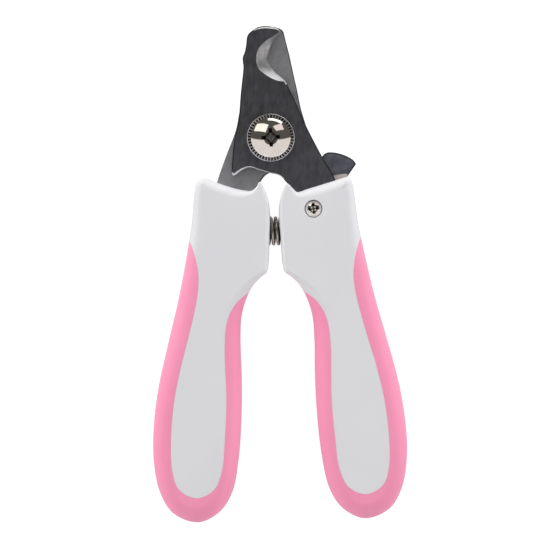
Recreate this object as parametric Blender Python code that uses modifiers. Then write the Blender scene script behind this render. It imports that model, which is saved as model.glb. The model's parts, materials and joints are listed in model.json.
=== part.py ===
"""A pet nail trimmer of the plier type: two crossed steel blades on one pivot, two overmoulded
handles, an opening spring between them and a thumb lock. It lies flat on its back, with the blade
tips towards +Y and the side with the pivot's domed head towards +Z.

Every outline is drawn in plan, in millimetres, with x = 0 on the mid line between the handles and
y = 0 level with the pivot. The right handle's outlines serve the left handle too, mirrored."""

import math

import bmesh
import bpy
from mathutils import Matrix, Vector

MM = 0.001

# Overall layout
PIVOT_X = -0.5  # the pivot sits a little to the left of the handles' mid line
PIVOT_Y = 36.2  # from the middle of the whole trimmer's length up to the pivot
HANDLE_THICKNESS = 13.0
MID_Z = HANDLE_THICKNESS / 2
FIT = 0.3  # gap left between two pieces that touch
OVERCUT = 1.0  # how far a cutter runs on past the face that it opens

# Blades: the front one is fixed in the right handle, the rear one in the left handle
BLADE_THICKNESS = 2.1
FRONT_BLADE_LOW = MID_Z + FIT / 2
FRONT_BLADE_HIGH = FRONT_BLADE_LOW + BLADE_THICKNESS
REAR_BLADE_HIGH = MID_Z - FIT / 2
REAR_BLADE_LOW = REAR_BLADE_HIGH - BLADE_THICKNESS
PIVOT_HOLE = 3.05
ANCHOR_HOLE = 2.0  # hole in each tang that the handle's plastic fills
EDGE_ARC = 5.8  # radius of a blade's cutting edge
GRIND_ARC = 6.6  # radius of the ground bevel where it leaves the blade's face

# Pivot
HEAD_RADIUS = 5.3
HEAD_RISE = 2.2
HEAD_RIM = 0.45
HEAD_RECESS = {"width": 1.0, "arm": 4.6, "depth": 1.4}
SHOULDER_RADIUS = 2.75
THREAD_RADIUS = 2.3
THREAD_CHAMFER = 0.4
RING_RADIUS = 6.35
RING_THICKNESS = 0.9
RING_TEETH = 45
TOOTH_GAP = (0.62, 0.38, 1.0)  # radial length, width and height of the slot between two teeth
TOOTH_GAP_RADIUS = 5.72
NUT_ACROSS_FLATS = 8.0
NUT_LOW = 0.8
BACK_WASHER_THICKNESS = 0.8
BACK_WASHER_RADIUS = 4.9

# Opening spring, on an axis along X
SPRING_Y = -24.9
SPRING_RADIUS = 3.95
SPRING_WIRE = 0.9
SPRING_TURNS = 10
SPRING_HALF_LENGTH = 7.1
POCKET_RADIUS = 4.4
POCKET_END = 7.5
SPIGOT_RADIUS = 2.4
SPIGOT_END = 4.0

# Thumb lock: a flat lever in the rear blade's plane, on a screw through the right handle
LOCK_X = 10.4
LOCK_Y = -19.3
LEVER_HIGH = REAR_BLADE_HIGH - 0.1
LEVER_THICKNESS = 1.9
LEVER_BOSS = 3.3
CATCH_REACH = 14.6  # from the pivot out to the lever's hollow flank, clear of the rear blade's hook
SCREW_HEAD_RADIUS = 2.35
SCREW_HEAD_RISE = 0.7
SCREW_HEAD_HEIGHT = 1.7
SCREW_RECESS = {"width": 0.6, "arm": 2.9, "depth": 1.0}
SCREW_SHANK_RADIUS = 1.45
SCREW_TIP = 1.6
SCREW_POINT = 0.8  # length of its blunt cone
SCREW_SINK = 0.2  # how far the head's crown lies below the handle's face
SCREW_HOLE = 1.75
COUNTERBORE_DEPTH = 2.2
COUNTERBORE_GAP = 0.4
PILOT_FLOOR = 1.2

# Grips
FLANGE_REACH = 1.8  # how far the core runs on into the grip, at mid thickness
FLANGE_HALF_HEIGHT = 1.5

# Each point is x, y and the radius of the long edge there
HANDLE_OUTLINE = [
    # the rim under the blades, from the outer corner to the inner peak
    (19.6, -10.9, 1.2), (16.6, -11.8, 1.4), (12.8, -12.9, 1.4), (9.0, -13.8, 1.4),
    (6.3, -14.4, 1.2), (4.9, -13.5, 0.6), (3.6, -12.3, 0.4), (2.7, -13.3, 0.6), (1.7, -16.4, 1.0),
    # the flat that faces the other handle, and the corner below it
    (1.2, -19.5, 1.4), (1.5, -27.0, 1.4), (1.9, -33.8, 1.2), (2.4, -35.9, 0.9), (3.9, -37.1, 1.2),
    # the inner side of the paddle
    (6.2, -39.4, 2.2), (8.2, -43.2, 3.6), (9.5, -47.8, 4.2), (9.9, -54.0, 4.4), (9.8, -64.0, 4.4),
    (10.2, -76.0, 4.4), (11.2, -86.0, 4.4), (12.9, -94.0, 4.4),
    # the round end
    (16.3, -99.4, 4.4), (22.2, -102.3, 4.4), (28.9, -99.8, 4.4),
    # the outer side
    (32.4, -94.0, 4.4), (33.9, -85.0, 4.4), (33.5, -75.0, 4.4), (31.9, -65.0, 4.4),
    (29.3, -54.5, 4.4), (26.3, -43.0, 4.2), (24.0, -32.5, 3.6), (22.2, -22.5, 3.0),
    (21.3, -14.6, 2.2), (20.8, -12.1, 1.4),
]

# Where the hard core meets the soft grip, from the outer side round the paddle to the inner side
SEAM = [
    (26.5, -28.4), (22.7, -29.0), (21.2, -31.6), (20.65, -37.0), (21.2, -42.6), (23.5, -52.0),
    (26.0, -61.0), (28.0, -70.2), (29.0, -80.0), (28.9, -88.0), (27.2, -93.2), (22.6, -95.6),
    (18.0, -93.6), (15.7, -88.8), (14.7, -80.5), (14.0, -70.0), (14.1, -55.0), (13.2, -48.4),
    (10.8, -44.0), (7.6, -41.4), (6.0, -40.7), (2.0, -40.6),
]
SEAM_PADDLE = slice(3, 18)  # the stretch of it that the flange follows

FRONT_BLADE = [
    [(2.4, 27.8), (0.9, 28.9), (-2.3, 29.2), (-5.3, 28.6), (-6.3, 27.0)],
    [(-6.3, 27.0), (-6.7, 23.8), (-7.4, 21.2), (-7.3, 19.1), (-8.2, 12.2), (-9.1, 4.2),
     (-10.2, 0.0), (-10.9, -5.5), (-11.2, -9.0)],
    [(-11.2, -9.0), (-10.7, -9.9), (-10.0, -9.7), (-8.4, -8.5), (-6.4, -7.7), (-4.0, -8.3),
     (-0.9, -9.4), (1.6, -10.1), (3.8, -12.4)],
    [(3.8, -12.4), (4.6, -17.0), (6.6, -20.0), (9.2, -22.6)],
    [(9.8, -34.0)],
    [(17.4, -34.0), (17.7, -20.0), (16.4, -11.6), (13.0, -5.2), (9.0, 3.0), (7.5, 6.6),
     (5.6, 11.1), (3.8, 14.9)],
    [(0.9, 18.1)],
]
FRONT_EDGE_CENTRE = (4.9, 22.0)
FRONT_GRIND_CENTRE = (2.7, 21.5)
FRONT_ANCHOR = (13.6, -28.5)

REAR_BLADE = [
    [(-5.1, 27.9), (-4.3, 28.9), (-2.3, 29.8), (0.1, 30.0), (2.4, 29.5), (3.7, 28.2)],
    [(3.7, 28.2), (5.0, 22.2), (6.1, 16.5), (7.0, 12.0), (7.7, 8.0), (8.8, 3.9), (9.6, 0.6),
     (10.3, -3.3), (10.8, -8.2)],
    [(10.8, -8.2), (10.2, -9.2), (9.3, -8.9), (7.8, -7.8), (5.8, -7.2), (3.4, -7.9),
     (-1.2, -9.4), (-3.2, -11.8), (-5.5, -13.9)],
    [(-5.5, -13.9), (-7.0, -18.6), (-9.2, -22.6)],
    [(-9.6, -34.0)],
    [(-16.9, -34.0), (-17.0, -20.0), (-15.2, -11.7), (-12.6, -4.6), (-9.8, 2.3), (-8.6, 7.5),
     (-6.8, 12.2), (-5.6, 14.6)],
    [(-2.9, 18.0)],
]
REAR_EDGE_CENTRE = (-7.0, 21.7)
REAR_GRIND_CENTRE = (-4.8, 21.3)
REAR_ANCHOR = (-13.2, -28.5)

# The thumb tab's top, its outer edge, and the nose that points down beside the rear blade's hook
LEVER_TAB = [(13.0, -5.4), (14.2, -4.35), (16.2, -4.25), (19.2, -5.1), (21.4, -6.4), (22.2, -7.5)]
LEVER_TAB_EDGE = [(22.2, -7.5), (20.9, -9.3), (19.6, -11.1), (17.2, -15.0)]
LEVER_NOSE = [(7.3, -15.2), (8.4, -12.0)]

# The lever's slot opens through the rim and through the handle's outer side, for the lever's swing
SLOT_INNER_SIDE = [(7.0, -8.0), (6.4, -15.2)]
SLOT_OUTER_SIDE = [(25.0, -16.6), (25.0, -8.0)]
SLOT_BOSS_ROOM = 3.8

AROUND_THE_HEAD = [(-3.0, -36.0), (-3.0, -6.0), (27.0, -6.0)]


# ---- Outlines ---------------------------------------------------------------------------------


def smooth(points, per_span=3, closed=False):
    """Points along a smooth curve that passes through the given ones (a centripetal Catmull-Rom)."""
    through = [Vector(p) for p in points]
    if closed:
        line = [through[-1], *through, through[0], through[1]]
    else:
        line = [2 * through[0] - through[1], *through, 2 * through[-1] - through[-2]]
    curve = []
    for a, b, c, d in zip(line, line[1:], line[2:], line[3:]):
        knots = [0.0]
        for start, stop in ((a, b), (b, c), (c, d)):
            knots.append(knots[-1] + math.sqrt((stop - start).length))
        for step in range(per_span):
            t = knots[1] + (knots[2] - knots[1]) * step / per_span
            ab, bc, cd = (
                start.lerp(stop, (t - k0) / (k1 - k0))
                for start, stop, k0, k1 in zip((a, b, c), (b, c, d), knots, knots[1:])
            )
            abc = ab.lerp(bc, (t - knots[0]) / (knots[2] - knots[0]))
            bcd = bc.lerp(cd, (t - knots[1]) / (knots[3] - knots[1]))
            curve.append(tuple(abc.lerp(bcd, (t - knots[1]) / (knots[2] - knots[1]))))
    return curve if closed else [*curve, tuple(points[-1])]


def joined(stretches):
    """One closed outline from stretches that are each smooth and meet in corners."""
    outline = []
    for stretch in stretches:
        run = smooth(stretch) if len(stretch) > 2 else list(stretch)
        outline += run if not outline or Vector(run[0]) != Vector(outline[-1]) else run[1:]
    return outline


def arc(centre, radius, start, stop, steps):
    """Points on a circle between two angles in degrees."""
    angles = [math.radians(start + (stop - start) * i / steps) for i in range(steps + 1)]
    return [(centre[0] + radius * math.cos(a), centre[1] + radius * math.sin(a)) for a in angles]


def circle(centre, radius, steps=24):
    return arc(centre, radius, 0, 360, steps)[:-1]


def grown(outline, by):
    """The closed outline moved outwards by a distance, or inwards where that is negative."""
    points = [Vector(p) for p in outline]
    turn = sum(a.x * b.y - b.x * a.y for a, b in zip(points, points[1:] + points[:1]))
    side = by if turn > 0 else -by
    moved = []
    for before, here, after in zip(points[-1:] + points[:-1], points, points[1:] + points[:1]):
        first = (here - before).normalized()
        outwards = Vector((first.y, -first.x))
        along = first + (after - here).normalized()
        normal = Vector((along.y, -along.x)).normalized()
        moved.append(tuple(here + normal * side / max(0.6, normal.dot(outwards))))
    return moved


def mirrored(outline, side):
    """The outline on the given side: 1 keeps it on the right, -1 turns it over to the left."""
    return [(side * x, y) for x, y in outline]


# ---- Scene helpers ----------------------------------------------------------------------------


def clear_scene():
    for obj in list(bpy.data.objects):
        bpy.data.objects.remove(obj, do_unlink=True)


def collection(name):
    made = bpy.data.collections.new(name)
    bpy.context.scene.collection.children.link(made)
    return made


def finish(name, colour, roughness, metallic=0.0):
    material = bpy.data.materials.new(name)
    material.use_nodes = True
    shader = material.node_tree.nodes["Principled BSDF"]
    shader.inputs["Base Color"].default_value = (*colour, 1.0)
    shader.inputs["Roughness"].default_value = roughness
    shader.inputs["Metallic"].default_value = metallic
    return material


def placed(name, mesh, at=(0.0, 0.0, 0.0)):
    """An object for the mesh, with its origin at a point of the plan given in millimetres."""
    obj = bpy.data.objects.new(name, mesh)
    obj.location = (at[0] * MM, (at[1] + PIVOT_Y) * MM, at[2] * MM)
    PARTS.objects.link(obj)
    return obj


def meshed(curve_object):
    """The curve object as a closed mesh object of the same name and place."""
    name = curve_object.name
    bpy.context.view_layer.update()
    evaluated = curve_object.evaluated_get(bpy.context.evaluated_depsgraph_get())
    mesh = bpy.data.meshes.new_from_object(evaluated)
    bm = bmesh.new()
    bm.from_mesh(mesh)
    bmesh.ops.remove_doubles(bm, verts=bm.verts, dist=0.001 * MM)
    bmesh.ops.recalc_face_normals(bm, faces=bm.faces)
    bm.to_mesh(mesh)
    bm.free()
    made = bpy.data.objects.new(name, mesh)
    made.matrix_world = curve_object.matrix_world.copy()
    PARTS.objects.link(made)
    bpy.data.objects.remove(curve_object, do_unlink=True)
    made.name = name
    return made


def prism(name, outlines, low, high):
    """Flat outlines, the first with the others as holes in it, made solid between two heights."""
    curve = bpy.data.curves.new(name, "CURVE")
    curve.dimensions = "2D"
    curve.fill_mode = "BOTH"
    curve.extrude = (high - low) / 2 * MM
    for outline in outlines:
        spline = curve.splines.new("POLY")
        spline.points.add(len(outline) - 1)
        for point, (x, y) in zip(spline.points, outline):
            point.co = (x * MM, y * MM, 0.0, 1.0)
        spline.use_cyclic_u = True
    return meshed(placed(name, curve, (0.0, 0.0, (low + high) / 2)))


def rounded_slab(name, outline, low, high, steps=2):
    """A slab whose long edges are rounded by the radius that each (x, y, radius) point gives, which
    no Bevel does where the radius changes along the edge: a loft of ever smaller outlines."""
    plan = [(x, y) for x, y, _ in outline]
    inwards = [Vector(inner) - Vector(here) for here, inner in zip(plan, grown(plan, -1.0))]
    half = (high - low) / 2
    mesh = bpy.data.meshes.new(name)
    bm = bmesh.new()
    rings = []
    for side in (-1, 1):
        for step in range(steps, -1, -1) if side < 0 else range(steps + 1):
            angle = math.pi / 2 * step / steps
            ring = []
            for (x, y, radius), towards in zip(outline, inwards):
                inset = radius * (1 - math.cos(angle))
                rise = half - radius * (1 - math.sin(angle))
                at = Vector((x + towards.x * inset, y + towards.y * inset, side * rise))
                ring.append(bm.verts.new(at * MM))
            rings.append(ring)
    for lower, upper in zip(rings, rings[1:]):
        for i in range(len(lower)):
            bm.faces.new((lower[i - 1], lower[i], upper[i], upper[i - 1]))
    for ring in (rings[0], rings[-1]):
        bm.faces.new(ring)
    bmesh.ops.recalc_face_normals(bm, faces=bm.faces)
    bm.to_mesh(mesh)
    bm.free()
    return placed(name, mesh, (0.0, 0.0, (low + high) / 2))


def turned(name, profile, at, steps=32):
    """A turned piece on a vertical axis. The profile's (radius, height) points run down its outside."""
    mesh = bpy.data.meshes.new(name)
    on_axis = profile[0][0] == 0
    count = len(profile)
    edges = [(i, i + 1) for i in range(count - 1)]
    if not on_axis:
        edges.append((count - 1, 0))
    mesh.from_pydata([(r * MM, 0.0, z * MM) for r, z in profile], edges, [])
    obj = placed(name, mesh, (*at, 0.0))
    screw = obj.modifiers.new("turn", "SCREW")
    screw.steps = steps
    screw.render_steps = steps
    screw.use_merge_vertices = True
    screw.merge_threshold = 0.00001
    screw.use_smooth_shade = False
    return obj


def block(name, size, at, angle=0.0):
    """A box of the given size about a point of the plan, turned about the vertical."""
    mesh = bpy.data.meshes.new(name)
    bm = bmesh.new()
    bmesh.ops.create_cube(bm, size=MM, matrix=Matrix.Diagonal((*size, 1.0)))
    bm.to_mesh(mesh)
    bm.free()
    obj = placed(name, mesh, at)
    obj.rotation_euler.z = angle
    return obj


def rod(name, radius, start, stop, at, steps=24):
    """A cylinder along X between two places, on an axis at a (y, z) point."""
    mesh = bpy.data.meshes.new(name)
    bm = bmesh.new()
    bmesh.ops.create_cone(
        bm, cap_ends=True, segments=steps, radius1=radius * MM, radius2=radius * MM,
        depth=abs(stop - start) * MM, matrix=Matrix.Rotation(math.pi / 2, 4, "Y"),
    )
    bm.to_mesh(mesh)
    bm.free()
    return placed(name, mesh, ((start + stop) / 2, *at))


def as_cutter(obj):
    PARTS.objects.unlink(obj)
    CUTTERS.objects.link(obj)
    obj.hide_render = True
    obj.display_type = "WIRE"
    return obj


def shaped(obj, operation, *others):
    """Cuts, joins or intersects the object with the others by Boolean modifiers."""
    for other in others:
        modifier = obj.modifiers.new(other.name, "BOOLEAN")
        modifier.operation = operation
        modifier.object = as_cutter(other)
    return obj


def given(obj, material, axis, smooth_below=35):
    """Gives a finished piece its material, its shading and the empty that it moves with."""
    obj.data.materials.clear()
    obj.data.materials.append(material)
    obj.data.shade_smooth()
    obj.data.set_sharp_from_angle(angle=math.radians(smooth_below))
    bpy.context.view_layer.update()
    obj.parent = axis
    obj.matrix_parent_inverse = axis.matrix_world.inverted()
    return obj


def axis_empty(name, x, y):
    empty = placed(name, None, (x, y, MID_Z))
    empty.empty_display_size = 10 * MM
    return empty


# ---- Blades -----------------------------------------------------------------------------------


def grind(name, edge_centre, edge_z, face_centre, face_z):
    """The slanting cone that hollows out a cutting edge: the edge's circle lies on the face that
    slides on the other blade, and the larger circle lies on the outer face."""
    overrun = 0.4
    towards_face = Vector((*face_centre, face_z)) - Vector((*edge_centre, edge_z))
    sections = []
    for t in (-overrun, 1 + overrun):
        middle = Vector((*edge_centre, edge_z)) + t * towards_face
        sections.append((middle, EDGE_ARC + t * (GRIND_ARC - EDGE_ARC)))
    sections.sort(key=lambda section: section[0].z)
    (low, low_radius), (high, high_radius) = sections
    lean = (high - low) / (high.z - low.z)
    mesh = bpy.data.meshes.new(name)
    bm = bmesh.new()
    bmesh.ops.create_cone(
        bm, cap_ends=True, segments=64, radius1=low_radius * MM, radius2=high_radius * MM,
        depth=(high.z - low.z) * MM,
    )
    for vertex in bm.verts:
        vertex.co.x += lean.x * vertex.co.z
        vertex.co.y += lean.y * vertex.co.z
    bm.to_mesh(mesh)
    bm.free()
    return placed(name, mesh, tuple((low + high) / 2))


def blade(name, stretches, low, high, holes, edge):
    plate = prism(name, [joined(stretches), *(circle(at, radius) for at, radius in holes)], low, high)
    return shaped(plate, "DIFFERENCE", edge)


def tang_slot(name, stretches, low, high, holes):
    """The room that a blade takes up in its handle, with the gap round it."""
    outlines = [grown(joined(stretches), FIT)]
    outlines += [circle(at, radius - FIT) for at, radius in holes]
    return prism(name, outlines, low - FIT, high + FIT)


# ---- Handles ----------------------------------------------------------------------------------


def handle_body(name, side):
    outline = [(side * x, y, radius) for x, y, radius in smooth(HANDLE_OUTLINE, closed=True)]
    return rounded_slab(name, outline, 0.0, HANDLE_THICKNESS)


def core_region(name, side, gap):
    """Everything on the core's side of the seam, taller than the handle."""
    outline = mirrored([*smooth(SEAM), *AROUND_THE_HEAD], side)
    return prism(name, [grown(outline, gap)], -OVERCUT, HANDLE_THICKNESS + OVERCUT)


def flange(name, side, gap):
    """The rib round the paddle that the grip is moulded over."""
    outline = mirrored(smooth(SEAM[SEAM_PADDLE]), side)
    half_height = FLANGE_HALF_HEIGHT + gap
    return prism(name, [grown(outline, FLANGE_REACH + gap)], MID_Z - half_height, MID_Z + half_height)


def spring_pocket(name, side):
    """The blind hole that seats the spring, as a cutter with its spigot left standing."""
    at = (SPRING_Y, MID_Z)
    hole = rod(name, POCKET_RADIUS, -side * OVERCUT, side * POCKET_END, at)
    spigot = rod(name + "_spigot", SPIGOT_RADIUS, side * SPIGOT_END, side * (POCKET_END + OVERCUT), at)
    return shaped(hole, "DIFFERENCE", spigot)


def handle(word, side, axis, tang):
    core = handle_body(word + "_handle_core", side)
    shaped(core, "INTERSECT", core_region(word + "_core_region", side, 0.0))
    shaped(core, "UNION", flange(word + "_flange", side, 0.0))
    shaped(core, "DIFFERENCE", tang, spring_pocket(word + "_spring_pocket", side))
    grip = handle_body(word + "_handle_grip", side)
    shaped(
        grip, "DIFFERENCE",
        core_region(word + "_core_room", side, FIT), flange(word + "_flange_room", side, FIT),
    )
    given(core, WHITE_PLASTIC, axis)
    given(grip, PINK_RUBBER, axis)
    return core


# ---- Pivot ------------------------------------------------------------------------------------


def dome(radius, rise, base, steps=6):
    """The (radius, height) points of a domed head, from its crown to its edge."""
    sphere = (radius**2 + rise**2) / (2 * rise)
    edge = math.asin(radius / sphere)
    angles = [edge * i / steps for i in range(steps + 1)]
    return [(sphere * math.sin(a), base + rise - sphere * (1 - math.cos(a))) for a in angles]


def cross_recess(name, at, top, width, arm, depth):
    """The two crossed bars that cut a driver recess."""
    height = depth + OVERCUT
    middle = (*at, top - depth + height / 2)
    bars = [block(f"{name}_{i}", (width, arm, height), middle, i * math.pi / 2) for i in range(2)]
    return shaped(bars[0], "UNION", bars[1])


def pivot(axis):
    at = (PIVOT_X, 0.0)
    ring_low = FRONT_BLADE_HIGH + FIT
    head_low = ring_low + RING_THICKNESS + FIT
    head_top = head_low + HEAD_RIM + HEAD_RISE
    bolt_profile = [
        *dome(HEAD_RADIUS, HEAD_RISE, head_low + HEAD_RIM),
        (HEAD_RADIUS, head_low), (SHOULDER_RADIUS, head_low),
        (SHOULDER_RADIUS, REAR_BLADE_LOW), (THREAD_RADIUS, REAR_BLADE_LOW),
        (THREAD_RADIUS, NUT_LOW + THREAD_CHAMFER), (THREAD_RADIUS - THREAD_CHAMFER, NUT_LOW),
        (0.0, NUT_LOW),
    ]
    bolt = turned("pivot_bolt", bolt_profile, at, 40)
    shaped(bolt, "DIFFERENCE", cross_recess("bolt_recess", at, head_top, **HEAD_RECESS))
    given(bolt, CHROME, axis)

    ring_top = ring_low + RING_THICKNESS
    inner = SHOULDER_RADIUS + FIT
    ring_profile = [(inner, ring_top), (RING_RADIUS, ring_top), (RING_RADIUS, ring_low), (inner, ring_low)]
    ring = turned("pivot_toothed_washer", ring_profile, at, RING_TEETH)
    shaped(ring, "DIFFERENCE", tooth_gaps("tooth_gaps", at, ring_top))
    given(ring, CHROME, axis)

    washer_high = REAR_BLADE_LOW - FIT
    washer_low = washer_high - BACK_WASHER_THICKNESS
    inner = THREAD_RADIUS + FIT
    washer_profile = [
        (inner, washer_high), (BACK_WASHER_RADIUS, washer_high),
        (BACK_WASHER_RADIUS, washer_low), (inner, washer_low),
    ]
    given(turned("pivot_back_washer", washer_profile, at), CHROME, axis)

    corner = NUT_ACROSS_FLATS / math.sqrt(3)
    hexagon = [circle(at, corner, 6), circle(at, inner)]
    nut = prism("pivot_nut", hexagon, NUT_LOW, washer_low - FIT)
    given(nut, CHROME, axis)


def tooth_gaps(name, at, top):
    """The ring of radial slots between the washer's teeth, as one cutter."""
    mesh = bpy.data.meshes.new(name)
    bm = bmesh.new()
    slot = Matrix.Diagonal((*TOOTH_GAP, 1.0))
    for i in range(RING_TEETH):
        turn = Matrix.Rotation(2 * math.pi * i / RING_TEETH, 4, "Z")
        place = turn @ Matrix.Translation((TOOTH_GAP_RADIUS * MM, 0.0, 0.0))
        bmesh.ops.create_cube(bm, size=MM, matrix=place @ slot)
    bm.to_mesh(mesh)
    bm.free()
    return placed(name, mesh, (*at, top))


# ---- Spring and lock --------------------------------------------------------------------------


def opening_spring(axis, per_turn=12):
    curve = bpy.data.curves.new("opening_spring", "CURVE")
    curve.dimensions = "3D"
    curve.bevel_depth = SPRING_WIRE / 2 * MM
    curve.bevel_resolution = 2
    curve.use_fill_caps = True
    coil_radius = SPRING_RADIUS - SPRING_WIRE / 2
    reach = SPRING_HALF_LENGTH - SPRING_WIRE / 2
    steps = SPRING_TURNS * per_turn
    spline = curve.splines.new("POLY")
    spline.points.add(steps)
    for i, point in enumerate(spline.points):
        angle = 2 * math.pi * i / per_turn
        x = reach * (2 * i / steps - 1)
        point.co = (x * MM, coil_radius * math.cos(angle) * MM, coil_radius * math.sin(angle) * MM, 1.0)
    spring = meshed(placed("opening_spring", curve, (0.0, SPRING_Y, MID_Z)))
    given(spring, SPRING_STEEL, axis, 60)


def lever_outline():
    """The lock lever: thumb tab, hollow flank beside the rear blade's hook, nose and boss."""
    pivot_centre = (PIVOT_X, 0.0)
    flank = arc(pivot_centre, CATCH_REACH, -47, -25, 6)
    boss = arc((LOCK_X, LOCK_Y), LEVER_BOSS, -20, -180, 8)
    return [*smooth(LEVER_TAB), *smooth(LEVER_TAB_EDGE)[1:], *boss, *LEVER_NOSE, *flank]


def lock(lever_axis, handle_axis):
    centre = (LOCK_X, LOCK_Y)
    outlines = [lever_outline(), circle(centre, SCREW_HOLE)]
    lever = prism("lock_lever", outlines, LEVER_HIGH - LEVER_THICKNESS, LEVER_HIGH)
    given(lever, DARK_STEEL, lever_axis)

    top = HANDLE_THICKNESS - SCREW_SINK
    head_low = top - SCREW_HEAD_HEIGHT
    profile = [
        *dome(SCREW_HEAD_RADIUS, SCREW_HEAD_RISE, top - SCREW_HEAD_RISE, 4),
        (SCREW_HEAD_RADIUS, head_low), (SCREW_SHANK_RADIUS, head_low),
        (SCREW_SHANK_RADIUS, SCREW_TIP + SCREW_POINT), (0.0, SCREW_TIP),
    ]
    screw = turned("lock_screw", profile, centre, 24)
    shaped(screw, "DIFFERENCE", cross_recess("screw_recess", centre, top, **SCREW_RECESS))
    given(screw, CHROME, handle_axis)


def lock_room():
    """What the lever and its screw take out of the right core: the lever's slot, and a stepped
    hole for the screw that ends in its pilot."""
    centre = (LOCK_X, LOCK_Y)
    fan = [*SLOT_INNER_SIDE, *arc(centre, SLOT_BOSS_ROOM, 180, 320, 8), *SLOT_OUTER_SIDE]
    slot = prism("lever_slot", [fan], REAR_BLADE_LOW - FIT, FRONT_BLADE_LOW + FIT)
    top = HANDLE_THICKNESS + OVERCUT
    step = HANDLE_THICKNESS - COUNTERBORE_DEPTH
    outer = SCREW_HEAD_RADIUS + COUNTERBORE_GAP
    profile = [
        (0.0, top), (outer, top), (outer, step), (SCREW_HOLE, step), (SCREW_HOLE, PILOT_FLOOR),
        (0.0, PILOT_FLOOR),
    ]
    return [slot, turned("screw_hole", profile, centre, 24)]


# ---- Assembly ---------------------------------------------------------------------------------

clear_scene()
PARTS = collection("pet_nail_trimmer")
CUTTERS = collection("cutters")

WHITE_PLASTIC = finish("white_plastic", (0.78, 0.77, 0.78), 0.35)
PINK_RUBBER = finish("pink_rubber", (0.90, 0.33, 0.47), 0.55)
DARK_STEEL = finish("dark_brushed_steel", (0.10, 0.10, 0.11), 0.35, 1.0)
GREY_STEEL = finish("grey_ground_steel", (0.30, 0.30, 0.31), 0.32, 1.0)
CHROME = finish("bright_plate", (0.78, 0.76, 0.73), 0.12, 1.0)
SPRING_STEEL = finish("spring_steel", (0.62, 0.60, 0.57), 0.22, 1.0)

right_axis = axis_empty("right_handle_frame", 0.0, 0.0)
left_axis = axis_empty("handle_pivot_axis", PIVOT_X, 0.0)
lever_axis = axis_empty("lock_pivot_axis", LOCK_X, LOCK_Y)

pivot_hole = ((PIVOT_X, 0.0), PIVOT_HOLE)
front_anchor = (FRONT_ANCHOR, ANCHOR_HOLE)
rear_anchor = (REAR_ANCHOR, ANCHOR_HOLE)

front_blade = blade(
    "front_blade", FRONT_BLADE, FRONT_BLADE_LOW, FRONT_BLADE_HIGH,
    [pivot_hole, front_anchor, ((LOCK_X, LOCK_Y), SCREW_HOLE)],
    grind("front_grind", FRONT_EDGE_CENTRE, FRONT_BLADE_LOW, FRONT_GRIND_CENTRE, FRONT_BLADE_HIGH),
)
given(front_blade, DARK_STEEL, right_axis)
rear_blade = blade(
    "rear_blade", REAR_BLADE, REAR_BLADE_LOW, REAR_BLADE_HIGH, [pivot_hole, rear_anchor],
    grind("rear_grind", REAR_EDGE_CENTRE, REAR_BLADE_HIGH, REAR_GRIND_CENTRE, REAR_BLADE_LOW),
)
given(rear_blade, GREY_STEEL, left_axis)

front_slot = tang_slot("front_tang_slot", FRONT_BLADE, FRONT_BLADE_LOW, FRONT_BLADE_HIGH, [front_anchor])
rear_slot = tang_slot("rear_tang_slot", REAR_BLADE, REAR_BLADE_LOW, REAR_BLADE_HIGH, [rear_anchor])
right_core = handle("right", 1, right_axis, front_slot)
shaped(right_core, "DIFFERENCE", *lock_room())
handle("left", -1, left_axis, rear_slot)

pivot(right_axis)
opening_spring(right_axis)
lock(lever_axis, right_axis)
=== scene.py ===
"""The looks of a pet nail trimmer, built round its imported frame.

Outlines are drawn in plan, in millimetres, with x = 0 on the mid line between the handles and y = 0
level with the pivot. Heights and centres come from the frame. The right handle's outlines serve the
left handle too, mirrored, but for the rim under the blades, which each handle has its own of."""

import json
import math

import bmesh
import bpy
from mathutils import Matrix, Vector


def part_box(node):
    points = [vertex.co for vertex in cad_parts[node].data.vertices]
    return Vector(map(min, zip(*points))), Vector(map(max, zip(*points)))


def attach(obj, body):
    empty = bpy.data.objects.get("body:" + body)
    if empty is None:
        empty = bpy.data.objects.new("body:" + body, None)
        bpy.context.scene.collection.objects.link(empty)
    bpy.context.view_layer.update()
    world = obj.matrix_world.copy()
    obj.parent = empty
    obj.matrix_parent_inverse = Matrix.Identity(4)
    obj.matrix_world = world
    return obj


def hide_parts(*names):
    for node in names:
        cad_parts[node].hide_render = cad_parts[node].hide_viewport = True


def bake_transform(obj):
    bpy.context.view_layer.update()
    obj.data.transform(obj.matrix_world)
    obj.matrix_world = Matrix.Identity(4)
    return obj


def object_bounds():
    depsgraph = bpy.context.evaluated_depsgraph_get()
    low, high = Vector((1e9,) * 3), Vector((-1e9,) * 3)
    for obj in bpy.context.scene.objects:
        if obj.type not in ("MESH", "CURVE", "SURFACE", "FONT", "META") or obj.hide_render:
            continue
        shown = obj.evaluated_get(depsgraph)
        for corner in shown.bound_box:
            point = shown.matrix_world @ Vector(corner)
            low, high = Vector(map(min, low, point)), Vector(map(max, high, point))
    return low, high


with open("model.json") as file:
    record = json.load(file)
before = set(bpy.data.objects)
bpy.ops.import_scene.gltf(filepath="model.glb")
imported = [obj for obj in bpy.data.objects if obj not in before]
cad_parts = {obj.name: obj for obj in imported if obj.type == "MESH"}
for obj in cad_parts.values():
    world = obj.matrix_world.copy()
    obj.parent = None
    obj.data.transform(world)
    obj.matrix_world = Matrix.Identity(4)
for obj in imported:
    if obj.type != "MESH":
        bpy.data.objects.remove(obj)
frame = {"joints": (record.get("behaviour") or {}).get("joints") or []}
CAD_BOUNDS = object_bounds()
MM = 0.001


# ---- What the frame gives, in millimetres ----


def joint_place(name):
    return Vector(next(j["pos_m"] for j in frame["joints"] if j["name"] == name)) / MM


def heights(node):
    """How low and how high a node of the frame reaches."""
    low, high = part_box(node)
    return low.z / MM, high.z / MM


def half_width(node):
    low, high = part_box(node)
    return (high.x - low.x) / 2 / MM


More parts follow.
